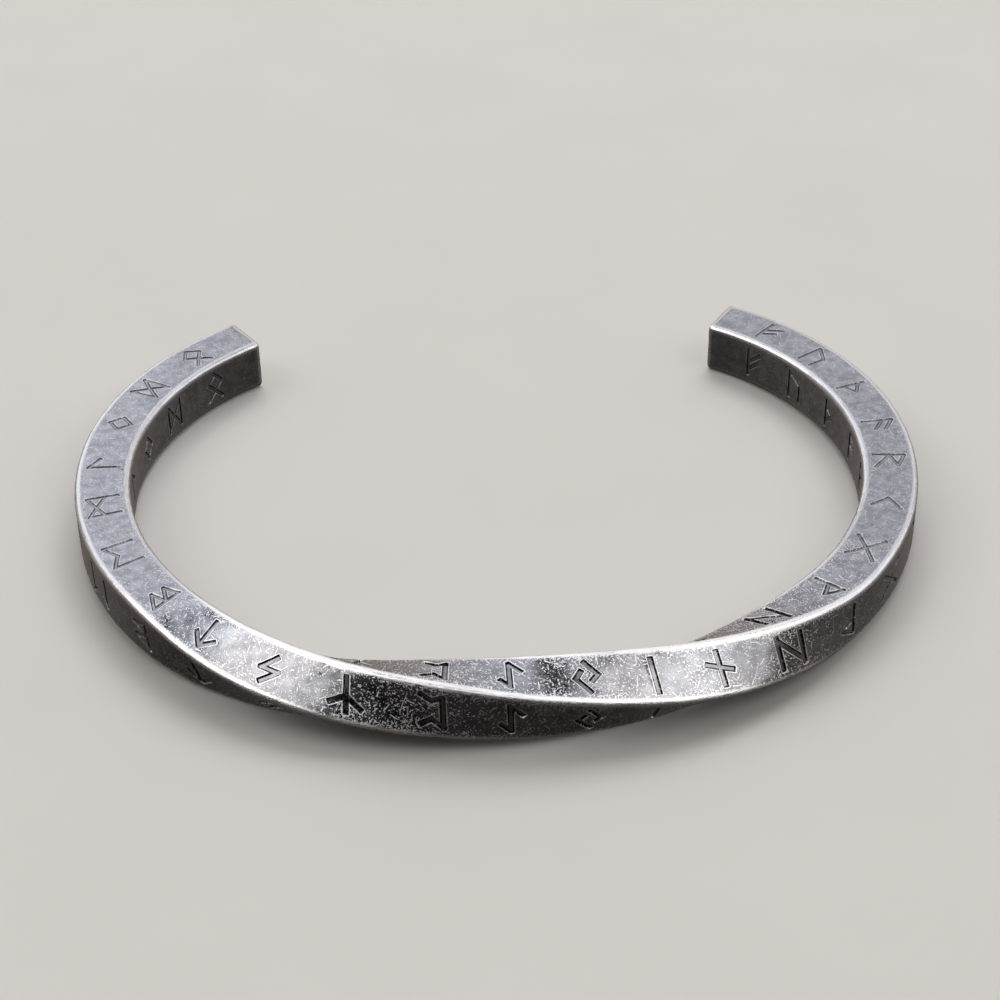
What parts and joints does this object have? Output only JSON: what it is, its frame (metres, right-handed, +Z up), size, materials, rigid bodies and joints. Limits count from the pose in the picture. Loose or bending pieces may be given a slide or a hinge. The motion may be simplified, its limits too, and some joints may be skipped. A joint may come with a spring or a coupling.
{
  "type": "viking arm ring",
  "caption": "Rigid open cuff for the wrist, bent from a square steel bar that is twisted across the front and engraved with runes.",
  "frame": {"origin": "middle of the cuff's outline in plan, on the surface that it rests on", "axes": "+X across the cuff towards the right arm, +Y back from the twisted front towards the open gap, +Z up"},
  "size_m": [0.076, 0.0588, 0.0066],
  "materials": {
    "antiqued_steel": "antiqued and scratched stainless steel, bright along the edges"
  },
  "bodies": {
    "root": {"twisted_bar": "antiqued_steel"}
  },
  "joints": []
}
